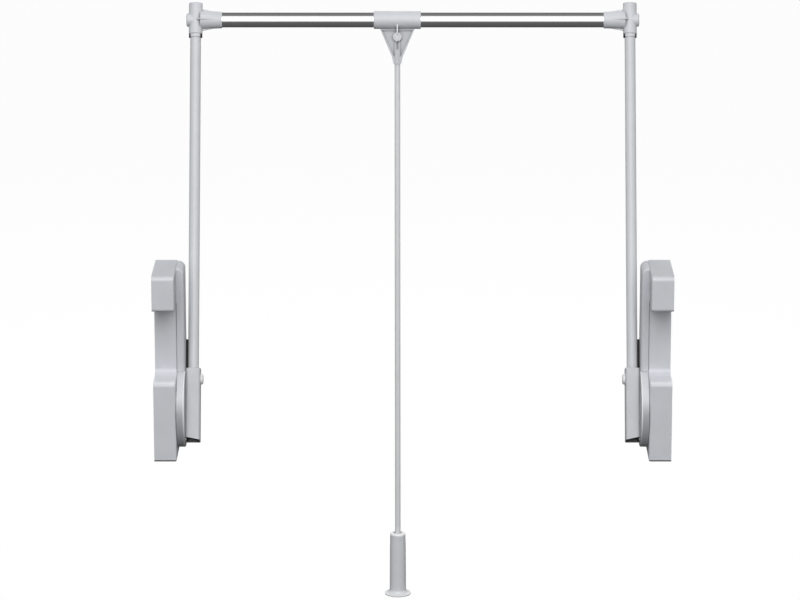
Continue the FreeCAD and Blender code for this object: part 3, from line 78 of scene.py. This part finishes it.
FLOOR_HEIGHT = cad_low.z - 0.35
FLOOR_REACH = 30.0
FLOOR_PALENESS = 0.96           # how much of the floor's white needs no light
FLOOR_TONE = 0.10               # how much light the floor sends back to the object
FRONT_SKY = 0.55                # soft light from above and before the closet
BACK_SKY = 0.30                 # and from everywhere else above the floor
SKY_FADE_START = 0.1            # the sky's direction along Y where the back level ends
SKY_FADE_END = -0.6             # and where the front level is full
CARD_LEFT = -3.0
CARD_RIGHT = 4.0
LOW_CARD_HEIGHT = cad_low.z - 0.1
LOW_CARD_FRONT = -4.4
LOW_CARD_BACK = 3.0
HIGH_CARD_HEIGHT = cad_high.z + 1.2
HIGH_CARD_FRONT = -0.1
HIGH_CARD_BACK = 3.2
BACK_CARD_LEFT = -2.5
BACK_CARD_RIGHT = 3.5
BACK_CARD_PLACE = cad_high.y + 2.8

# ---------------------------------------------------------------- colours, linear

CASING_GREY = (0.585, 0.60, 0.635)
SPINE_GREY = (0.55, 0.564, 0.597)
CONNECTOR_GREY = (0.60, 0.612, 0.645)
HANDLE_GREY = (0.68, 0.695, 0.72)
FLANGE_GREY = (0.74, 0.75, 0.77)
# painted highlight on the hub discs' edges, the sleeve's fin and the handle's lip
PAINTED_HIGHLIGHT_GREY = (0.87, 0.88, 0.895)
HUB_GREY = (0.47, 0.482, 0.506)
PAINT_GREY = (0.51, 0.522, 0.548)
ARM_GREY = (0.60, 0.613, 0.635)
ROD_GREY = (0.74, 0.75, 0.76)
PIN_GREY = (0.74, 0.75, 0.765)
# painted shadow along the casing's foot
PAINTED_FOOT_SHADOW = (0.10, 0.10, 0.10)
# painted shade inside the arm brackets' open channels
PAINTED_HOLLOW_SHADE = (0.05, 0.05, 0.05)
CHROME_TINT = (0.90, 0.905, 0.92)
STEEL_TINT = (0.62, 0.63, 0.64)
ZINC_WHITE = (0.78, 0.785, 0.795)
DARK_STEEL_TINT = (0.34, 0.345, 0.36)
BRONZE_TINT = (0.60, 0.44, 0.24)
BLACK_PLASTIC = (0.012, 0.0123, 0.013)
BLACK_RUBBER = (0.018, 0.0185, 0.019)

# ---------------------------------------------------------------- grain of the materials

EVEN = (1.0, 1.0, 1.0)
ALONG_RAIL = (0.02, 1.0, 1.0)   # noise drawn out along the rail
CLOUD_SCALE = 38.0
POLISH_SCALE = 90.0
PORE_SCALE = 1400.0
PORE_HEIGHT = 0.0003
SMOOTHER = 0.04                 # how far the polish lowers and raises a plastic's roughness
ROUGHER = 0.05
TARNISH_SCALE = 60.0
LINE_SCALE = 700.0
LINE_HEIGHT = 0.0001
SMOOTH_SHARE = 0.8              # a metal's roughness on and between its drawn lines
ROUGH_SHARE = 1.3

# ---------------------------------------------------------------- edges of the painted light, shade and tints, metres
# A blend is half the width over which the tint fades in at the edge named before it.

FOOT_SHADOW_LINE = 0.00295             # painted shadow along the casing's lower edge, up to this height above its bottom
FOOT_SHADOW_BLEND = 0.00025
SIDE_FACE = 0.0365              # just short of the casing's side face, from the wall
SIDE_BLEND = 0.0001
KNEE_BACK = -0.0025             # the knee's painted highlight lies before this
KNEE_BACK_BLEND = 0.0005
KNEE_LOW = 0.0575
KNEE_LOW_BLEND = 0.001
KNEE_TOP = 0.06075
KNEE_TOP_BLEND = 0.00025
HEAD_DROP = 0.00125             # the head's top face, below the casing's highest point, which gets painted shade
HEAD_BLEND = 0.00075
DISC_EDGE = 0.0019              # where the hub disc's rim turns into its rounded edge, from its face
DISC_EDGE_BLEND = 0.0002
DISC_FACE = 0.00025             # where that edge ends at the face
DISC_FACE_BLEND = 0.00005
SHINE_HEIGHT = -0.025           # the rounded edge carries a painted highlight above this
SHINE_BLEND = 0.03
PAINTED_LIGHT_RIM = 0.031                # the rim carries painted light above this
PAINTED_LIGHT_RIM_BLEND = 0.011
PAINTED_SHADE_RIM = 0.016                # and painted shade below this
PAINTED_SHADE_RIM_BLEND = 0.012
FIN_HALF = 0.0012               # the painted highlight on the sleeve's fin, either side of its middle
FIN_HALF_BLEND = 0.00005
FIN_DEPTH = 0.0013              # its front edge
FIN_DEPTH_BLEND = 0.0001
FIN_DROP = 0.020                # its upper end, below the sleeve's top
FIN_DROP_BLEND = 0.0005
LIP_DROP = 0.0035               # the handle's lip, below its top, which gets a painted highlight
LIP_BLEND = 0.001
FLANGE_RISE = 0.006             # the handle's flange, above its foot
FLANGE_BLEND = 0.003

# ---------------------------------------------------------------- greys and shades of a colour


def grey(value):
    return (value, value, value)


def shade(colour, factor):
    return tuple(channel * factor for channel in colour)


# ---------------------------------------------------------------- parts of a node tree

def noise_at(nodes, links, scale, detail, stretch=EVEN):
    """Noise in the piece's own coordinates, in metres, stretched along an axis where wanted."""
    place = nodes.new("ShaderNodeTexCoord")
    mapping = nodes.new("ShaderNodeMapping")
    mapping.inputs["Scale"].default_value = stretch
    noise = nodes.new("ShaderNodeTexNoise")
    noise.inputs["Scale"].default_value = scale
    noise.inputs["Detail"].default_value = detail
    links.new(place.outputs["Object"], mapping.inputs["Vector"])
    links.new(mapping.outputs["Vector"], noise.inputs["Vector"])
    return noise.outputs["Fac"]


def ramp_between(nodes, links, factor, low, high, start=0.3, end=0.7):
    """A colour ramp from low to high, by default over the middle of a noise."""
    ramp = nodes.new("ShaderNodeValToRGB")
    ramp.color_ramp.elements[0].position = start
    ramp.color_ramp.elements[1].position = end
    ramp.color_ramp.elements[0].color = (*low, 1.0)
    ramp.color_ramp.elements[1].color = (*high, 1.0)
    links.new(factor, ramp.inputs["Fac"])
    return ramp.outputs["Color"]


def coordinate(nodes, links, axis, kind="Object"):
    """One axis of a texture coordinate, by default of the piece's own in metres."""
    place = nodes.new("ShaderNodeTexCoord")
    split = nodes.new("ShaderNodeSeparateXYZ")
    links.new(place.outputs[kind], split.inputs["Vector"])
    return split.outputs[axis]


def step_between(nodes, links, value, start, end, smooth=False):
    """0 at start and 1 at end, whichever of the two is higher."""
    step = nodes.new("ShaderNodeMapRange")
    if smooth:
        step.interpolation_type = "SMOOTHSTEP"
    step.inputs["From Min"].default_value = min(start, end)
    step.inputs["From Max"].default_value = max(start, end)
    step.inputs["To Min"].default_value = float(start > end)
    step.inputs["To Max"].default_value = float(start < end)
    links.new(value, step.inputs["Value"])
    return step.outputs["Result"]


def joined(nodes, links, operation, first, second):
    """Two values joined by an operation of the math node."""
    join = nodes.new("ShaderNodeMath")
    join.operation = operation
    links.new(first, join.inputs[0])
    links.new(second, join.inputs[1])
    return join.outputs["Value"]


def seen_by_eye_or_gloss(nodes, links):
    """1 for rays of the camera, of reflections and through glass, and 0 for other light."""
    path = nodes.new("ShaderNodeLightPath")
    seen = joined(nodes, links, "MAXIMUM", path.outputs["Is Camera Ray"], path.outputs["Is Glossy Ray"])
    return joined(nodes, links, "MAXIMUM", seen, path.outputs["Is Transmission Ray"])


# ---------------------------------------------------------------- plastics and metals

def new_material(name):
    """A material with its nodes, its links and its surface node."""
    material = bpy.data.materials.new(name)
    material.use_nodes = True
    nodes = material.node_tree.nodes
    return material, nodes, material.node_tree.links, nodes["Principled BSDF"]


def clouded(nodes, links, surface, cloud, colour, spread):
    """The base colour, a little darker and paler by the cloud."""
    tone = ramp_between(nodes, links, cloud, shade(colour, 1 - spread), shade(colour, 1 + spread))
    links.new(tone, surface.inputs["Base Color"])


def raised(nodes, links, surface, relief, strength, height):
    """Fine relief of the given height in metres."""
    bump = nodes.new("ShaderNodeBump")
    bump.inputs["Strength"].default_value = strength
    bump.inputs["Distance"].default_value = height
    links.new(relief, bump.inputs["Height"])
    links.new(bump.outputs["Normal"], surface.inputs["Normal"])


def moulded(name, colour, roughness, grain=0.05, spread=0.02, gloss_level=0.5):
    """Moulded plastic or powder coat: faint cloudy colour, fine grain and uneven gloss."""
    material, nodes, links, surface = new_material(name)
    clouded(nodes, links, surface, noise_at(nodes, links, CLOUD_SCALE, 2.0), colour, spread)
    polish = noise_at(nodes, links, POLISH_SCALE, 4.0)
    gloss = ramp_between(nodes, links, polish, grey(roughness - SMOOTHER), grey(roughness + ROUGHER))
    links.new(gloss, surface.inputs["Roughness"])
    raised(nodes, links, surface, noise_at(nodes, links, PORE_SCALE, 2.0), grain, PORE_HEIGHT)
    surface.inputs["Specular IOR Level"].default_value = gloss_level
    return material


def metal(name, tint, roughness, stretch=EVEN, scratch=0.02, spread=0.03):
    """Bare or plated metal with fine lines, drawn out where the stretch says so."""
    material, nodes, links, surface = new_material(name)
    surface.inputs["Metallic"].default_value = 1.0
    clouded(nodes, links, surface, noise_at(nodes, links, TARNISH_SCALE, 2.0, stretch), tint, spread)
    lines = noise_at(nodes, links, LINE_SCALE, 3.0, stretch)
    gloss = ramp_between(nodes, links, lines, grey(roughness * SMOOTH_SHARE), grey(roughness * ROUGH_SHARE))
    links.new(gloss, surface.inputs["Roughness"])
    raised(nodes, links, surface, lines, scratch, LINE_HEIGHT)
    return material


# ---------------------------------------------------------------- tints laid over a material

def mixed_in(material, share, colour):
    """Another colour laid over the base colour, by its share from 0 to 1."""
    nodes, links = material.node_tree.nodes, material.node_tree.links
    base = nodes["Principled BSDF"].inputs["Base Color"]
    mix = nodes.new("ShaderNodeMix")
    mix.data_type = "RGBA"
    mix.inputs["B"].default_value = (*colour, 1.0)
    links.new(share, mix.inputs["Factor"])
    links.new(base.links[0].from_socket, mix.inputs["A"])
    links.new(mix.outputs["Result"], base)


def above(axis, edge, blend):
    """The side of an edge where the coordinate is higher, for tinted."""
    return (axis, edge - blend, edge + blend)


def below(axis, edge, blend):
    """The side of an edge where the coordinate is lower, for tinted."""
    return (axis, edge + blend, edge - blend)


def tinted(material, colour, *sides):
    """Lay another colour over the material where every side holds."""
    nodes, links = material.node_tree.nodes, material.node_tree.links
    shares = [step_between(nodes, links, coordinate(nodes, links, axis), start, end)
              for axis, start, end in sides]
    share = shares[0]
    for other in shares[1:]:
        share = joined(nodes, links, "MULTIPLY", share, other)
    mixed_in(material, share, colour)


def painted_shade_in_hollows(material, depth, colour, start, end):
    """Painted shade: lay a dark colour over the material where it shades itself within the depth."""
    nodes, links = material.node_tree.nodes, material.node_tree.links
    open_share = nodes.new("ShaderNodeAmbientOcclusion")
    open_share.only_local = True
    open_share.inputs["Distance"].default_value = depth
    share = ramp_between(nodes, links, open_share.outputs["AO"], grey(1.0), grey(0.0), start, end)
    mixed_in(material, share, colour)


# ---------------------------------------------------------------- materials with painted light and shade

def casing_plastic_with_painted_light():
    """The casings' plastic, with a painted shadow along the foot, a painted highlight on the knee and
    painted shade on the head's top.
    """
    material = moulded("casing_plastic", CASING_GREY, roughness=0.42, grain=0.08)
    low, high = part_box("left_casing")
    far_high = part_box("right_casing")[1]
    # painted shadow along the foot
    tinted(material, PAINTED_FOOT_SHADOW, below("Z", low[2] + FOOT_SHADOW_LINE, FOOT_SHADOW_BLEND))
    left_side = below("X", low[0] + SIDE_FACE, SIDE_BLEND)
    right_side = above("X", far_high[0] - SIDE_FACE, SIDE_BLEND)
    # painted highlight on the knee's slope, short of the side faces
    for side_face in (left_side, right_side):
        tinted(material, shade(CASING_GREY, 1.22), side_face, below("Y", KNEE_BACK, KNEE_BACK_BLEND),
               above("Z", KNEE_LOW, KNEE_LOW_BLEND), below("Z", KNEE_TOP, KNEE_TOP_BLEND))
    # painted shade on the head's top face
    tinted(material, shade(CASING_GREY, 0.86), above("Z", high[2] - HEAD_DROP, HEAD_BLEND))
    return material


def hub_plastic_with_painted_light():
    """The hub discs' plastic: painted light and shade graded down the rim, and a painted highlight on the
    rounded edge.
    """
    material = moulded("hub_plastic", HUB_GREY, roughness=0.38, grain=0.06)
    left_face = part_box("left_hub_disc")[1][0]
    right_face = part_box("right_hub_disc")[0][0]
    left_rim = below("X", left_face - DISC_EDGE, DISC_EDGE_BLEND)
    right_rim = above("X", right_face + DISC_EDGE, DISC_EDGE_BLEND)
    # painted light on the upper rim, painted shade on the lower rim
    for rim in (left_rim, right_rim):
        tinted(material, shade(HUB_GREY, 1.34), rim, above("Z", PAINTED_LIGHT_RIM, PAINTED_LIGHT_RIM_BLEND))
        tinted(material, shade(HUB_GREY, 0.84), rim, below("Z", PAINTED_SHADE_RIM, PAINTED_SHADE_RIM_BLEND))
    # painted highlight on the rounded edge between rim and face
    shine = above("Z", SHINE_HEIGHT, SHINE_BLEND)
    tinted(material, PAINTED_HIGHLIGHT_GREY, above("X", left_face - DISC_EDGE, DISC_EDGE_BLEND),
           below("X", left_face - DISC_FACE, DISC_FACE_BLEND), shine)
    tinted(material, PAINTED_HIGHLIGHT_GREY, below("X", right_face + DISC_EDGE, DISC_EDGE_BLEND),
           above("X", right_face + DISC_FACE, DISC_FACE_BLEND), shine)
    return material


def bracket_coat_with_painted_shade():
    """The arm brackets' powder coat, with painted shade inside the open channel."""
    material = moulded("powder_coat", PAINT_GREY, roughness=0.34, grain=0.12, gloss_level=0.3)
    # painted shade inside the open channel
    painted_shade_in_hollows(material, depth=0.04, colour=PAINTED_HOLLOW_SHADE, start=0.75, end=0.98)
    return material


def connector_plastic_with_painted_shade():
    """The connectors' plastic, with painted shade in the corners between barrel, socket and ribs."""
    material = moulded("connector_plastic", CONNECTOR_GREY, roughness=0.5, grain=0.05)
    # painted shade in the corners
    painted_shade_in_hollows(material, depth=0.006, colour=shade(CONNECTOR_GREY, 0.6), start=0.2, end=0.95)
    return material


def sleeve_plastic_with_painted_light():
    """The sleeve's plastic, with a painted highlight on the narrow fin over its screw and painted shade in
    its corners.
    """
    material = moulded("sleeve_plastic", CONNECTOR_GREY, roughness=0.5, grain=0.05)
    low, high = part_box("sleeve")
    middle = (low[0] + high[0]) / 2
    # painted highlight on the fin's front edge
    tinted(material, PAINTED_HIGHLIGHT_GREY, above("X", middle - FIN_HALF, FIN_HALF_BLEND),
           below("X", middle + FIN_HALF, FIN_HALF_BLEND), below("Y", low[1] + FIN_DEPTH, FIN_DEPTH_BLEND),
           below("Z", high[2] - FIN_DROP, FIN_DROP_BLEND))
    # painted shade in the corners
    painted_shade_in_hollows(material, depth=0.007, colour=shade(CONNECTOR_GREY, 0.5), start=0.2, end=0.95)
    return material


def handle_plastic_with_painted_highlight():
    """The handle's plastic, with a painted highlight at its lip, and paler on its flange."""
    material = moulded("handle_plastic", HANDLE_GREY, roughness=0.3, grain=0.05)
    low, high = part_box("pull_handle")
    # painted highlight at the lip
    tinted(material, PAINTED_HIGHLIGHT_GREY, above("Z", high[2] - LIP_DROP, LIP_BLEND))
    tinted(material, FLANGE_GREY, below("Z", low[2] + FLANGE_RISE, FLANGE_BLEND))
    return material


# ---------------------------------------------------------------- a finish for every piece

plate_steel = metal("plate_steel", STEEL_TINT, roughness=0.42)
bright_steel = metal("bright_steel", STEEL_TINT, roughness=0.28)
spring_steel = metal("spring_steel", DARK_STEEL_TINT, roughness=0.35)
bronze = metal("bronze", BRONZE_TINT, roughness=0.4)
chrome = metal("chrome", CHROME_TINT, roughness=0.06, stretch=ALONG_RAIL, scratch=0.01, spread=0.01)
spine_plastic = moulded("spine_plastic", SPINE_GREY, roughness=0.42, grain=0.08)
black_plastic = moulded("black_plastic", BLACK_PLASTIC, roughness=0.55, grain=0.08, gloss_level=0.25)
black_rubber = moulded("black_rubber", BLACK_RUBBER, roughness=0.75, grain=0.25, gloss_level=0.3)
arm_coat = moulded("arm_coat", ARM_GREY, roughness=0.34, grain=0.12, gloss_level=0.3)
rod_coat = moulded("rod_coat", ROD_GREY, roughness=0.32, grain=0.08, gloss_level=0.4)
pin_plastic = moulded("pin_plastic", PIN_GREY, roughness=0.3, grain=0.04)
zinc = moulded("zinc", ZINC_WHITE, roughness=0.3, grain=0.05)
connector_plastic = connector_plastic_with_painted_shade()

FINISHES = {
    "wall_plate": plate_steel,
    "casing": casing_plastic_with_painted_light(),
    "spine_cover": spine_plastic,
    "outer_bush": bronze,
    "inner_bush": bronze,
    "spring_anchor": plate_steel,
    "damper_body": black_plastic,
    "lift_spring": spring_steel,
    "rack_guide": black_plastic,
    "rest_stop": black_rubber,
    "rack": plate_steel,
    "piston_rod": bright_steel,
    "hub_disc": hub_plastic_with_painted_light(),
    "pivot_shaft": bright_steel,
    "shaft_clip": spring_steel,
    "pinion": plate_steel,
    "arm_bracket": bracket_coat_with_painted_shade(),
    "bracket_screws": bright_steel,
    "arm_insert": black_plastic,
    "arm_tube": arm_coat,
    "arm_screw": zinc,
    "connector": connector_plastic,
    "liner_bush": black_plastic,
    "connector_cap": connector_plastic,
    "connector_screw": bright_steel,
    "rail_tube": chrome,
    "inner_rail_tube": bright_steel,
    "sleeve": sleeve_plastic_with_painted_light(),
    "sleeve_screw": pin_plastic,
    "pull_rod": rod_coat,
    "pull_handle": handle_plastic_with_painted_highlight(),
    "handle_plug": black_plastic,
}

for name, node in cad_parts.items():
    plain_name = name.removeprefix("left_").removeprefix("right_")
    node.data.materials.clear()
    node.data.materials.append(FINISHES[plain_name])


# ---------------------------------------------------------------- lift springs, copied onto the housings' bodies

for side in ("left", "right"):
    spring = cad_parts[side + "_lift_spring"]
    coil = bpy.data.objects.new(side + "_lift_coil", spring.data.copy())
    bpy.context.scene.collection.objects.link(coil)
    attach(coil, side + "_housing")
    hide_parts(side + "_lift_spring")
    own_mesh(coil)


# ---------------------------------------------------------------- floor and reflector cards

def quad(name, corners):
    """A flat four-cornered card of the stage."""
    mesh = bpy.data.meshes.new(name)
    mesh.from_pydata(corners, [], [(0, 1, 2, 3)])
    thing = bpy.data.objects.new(name, mesh)
    bpy.context.scene.collection.objects.link(thing)
    return thing


def level_corners(low, high, height):
    """The corners of a level rectangle from its low and high (x, y)."""
    return [(low[0], low[1], height), (high[0], low[1], height),
            (high[0], high[1], height), (low[0], high[1], height)]


def upright_corners(low, high, depth):
    """The corners of an upright rectangle that faces the camera, from its low and high (x, z)."""
    return [(low[0], depth, low[1]), (high[0], depth, low[1]),
            (high[0], depth, high[1]), (low[0], depth, high[1])]


def seen_white(material, paleness, tone):
    """White with a faint shadow to the eye and in reflections, a plain grey card to other light."""
    nodes, links = material.node_tree.nodes, material.node_tree.links
    glow = nodes.new("ShaderNodeEmission")
    glow.inputs["Color"].default_value = (*grey(1.0), 1.0)
    pale = nodes.new("ShaderNodeMixShader")
    pale.inputs["Fac"].default_value = paleness
    links.new(nodes["Principled BSDF"].outputs["BSDF"], pale.inputs[1])
    links.new(glow.outputs["Emission"], pale.inputs[2])
    card = nodes.new("ShaderNodeBsdfDiffuse")
    card.inputs["Color"].default_value = (*grey(tone), 1.0)
    mix = nodes.new("ShaderNodeMixShader")
    links.new(seen_by_eye_or_gloss(nodes, links), mix.inputs["Fac"])
    links.new(card.outputs["BSDF"], mix.inputs[1])
    links.new(pale.outputs["Shader"], mix.inputs[2])
    links.new(mix.outputs["Shader"], nodes["Material Output"].inputs["Surface"])
    material.cycles.emission_sampling = "NONE"


def reflector(name, corners, near_tone, far_tone):
    """A card that only reflections see, as studios set beside chrome; its tone runs along its depth."""
    card = quad(name, corners)
    card.visible_camera = False
    card.visible_diffuse = False
    card.visible_shadow = False
    card.visible_transmission = False
    material, nodes, links, surface = new_material(name)
    nodes.remove(surface)
    depth = coordinate(nodes, links, "Y", "Generated")
    glow = nodes.new("ShaderNodeEmission")
    links.new(ramp_between(nodes, links, depth, grey(near_tone), grey(far_tone)), glow.inputs["Color"])
    links.new(glow.outputs["Emission"], nodes["Material Output"].inputs["Surface"])
    material.cycles.emission_sampling = "NONE"
    card.data.materials.append(material)


floor_low = (-FLOOR_REACH, -FLOOR_REACH)
floor_high = (FLOOR_REACH, FLOOR_REACH)
floor = quad("floor", level_corners(floor_low, floor_high, FLOOR_HEIGHT))
floor_paint = moulded("floor_paint", grey(0.9), roughness=0.8, grain=0.0, spread=0.005)
seen_white(floor_paint, FLOOR_PALENESS, FLOOR_TONE)
floor.data.materials.append(floor_paint)

low_corners = level_corners((CARD_LEFT, LOW_CARD_FRONT), (CARD_RIGHT, LOW_CARD_BACK), LOW_CARD_HEIGHT)
high_corners = level_corners((CARD_LEFT, HIGH_CARD_FRONT), (CARD_RIGHT, HIGH_CARD_BACK), HIGH_CARD_HEIGHT)
back_corners = upright_corners((BACK_CARD_LEFT, LOW_CARD_HEIGHT), (BACK_CARD_RIGHT, HIGH_CARD_HEIGHT),
                               BACK_CARD_PLACE)
reflector("low_flag", low_corners, near_tone=0.15, far_tone=0.07)
reflector("high_flag", high_corners, near_tone=0.2, far_tone=0.1)
reflector("back_flag", back_corners, near_tone=0.3, far_tone=0.3)


# ---------------------------------------------------------------- light

def studio_sky():
    """White to the eye and in reflections, and to other light a soft sky, brighter before the closet."""
    world = bpy.data.worlds.new("studio")
    bpy.context.scene.world = world
    world.use_nodes = True
    nodes, links = world.node_tree.nodes, world.node_tree.links
    sky = nodes["Background"]
    sky.inputs["Color"].default_value = (*grey(1.0), 1.0)
    depth = coordinate(nodes, links, "Y", "Generated")
    front = step_between(nodes, links, depth, SKY_FADE_START, SKY_FADE_END, smooth=True)
    level = nodes.new("ShaderNodeMapRange")
    level.inputs["To Min"].default_value = BACK_SKY
    level.inputs["To Max"].default_value = FRONT_SKY
    links.new(front, level.inputs["Value"])
    strength = nodes.new("ShaderNodeMix")
    strength.inputs["B"].default_value = 1.0
    links.new(seen_by_eye_or_gloss(nodes, links), strength.inputs["Factor"])
    links.new(level.outputs["Result"], strength.inputs["A"])
    links.new(strength.outputs["Result"], sky.inputs["Strength"])


def area_light(name, place, width, height, watts, in_gloss=False):
    """A soft lamp that looks at the object's middle, seen in reflections only where asked."""
    lamp = bpy.data.lights.new(name, "AREA")
    lamp.shape = "RECTANGLE"
    lamp.size = width
    lamp.size_y = height
    lamp.energy = watts
    thing = bpy.data.objects.new(name, lamp)
    bpy.context.scene.collection.objects.link(thing)
    thing.location = place
    aim = [end - start for end, start in zip(MIDDLE, place)]
    reach = math.hypot(aim[0], aim[1])
    tilt = math.pi / 2 - math.atan2(-aim[2], reach)
    thing.rotation_euler = (tilt, 0.0, math.atan2(-aim[0], aim[1]))
    thing.visible_glossy = in_gloss


studio_sky()
area_light("key", (MIDDLE[0], -3.4, 2.35), width=2.6, height=2.8, watts=107.0, in_gloss=True)
area_light("overhead", (MIDDLE[0], -0.6, 4.6), width=3.0, height=2.0, watts=20.0)
area_light("back_fill", (MIDDLE[0], 3.6, 2.4), width=2.6, height=2.0, watts=105.0)
area_light("left_fill", (MIDDLE[0] - 3.8, 0.0, 1.5), width=2.0, height=2.0, watts=8.0)
area_light("right_fill", (MIDDLE[0] + 3.8, 0.0, 1.5), width=2.0, height=2.0, watts=8.0)

# ---------------------------------------------------------------- camera

camera_data = bpy.data.cameras.new("camera")
camera_data.lens = CAMERA_LENS
camera_data.sensor_width = SENSOR_WIDTH
camera_data.shift_x = -MIDDLE_OFFSET / PICTURE_WIDTH
camera_data.clip_end = VIEW_REACH
camera = bpy.data.objects.new("camera", camera_data)
bpy.context.scene.collection.objects.link(camera)
camera.location = CAMERA_PLACE
camera.rotation_euler = (math.pi / 2 - CAMERA_PITCH, 0.0, 0.0)
bpy.context.scene.camera = camera
bpy.context.scene.view_settings.view_transform = "Standard"
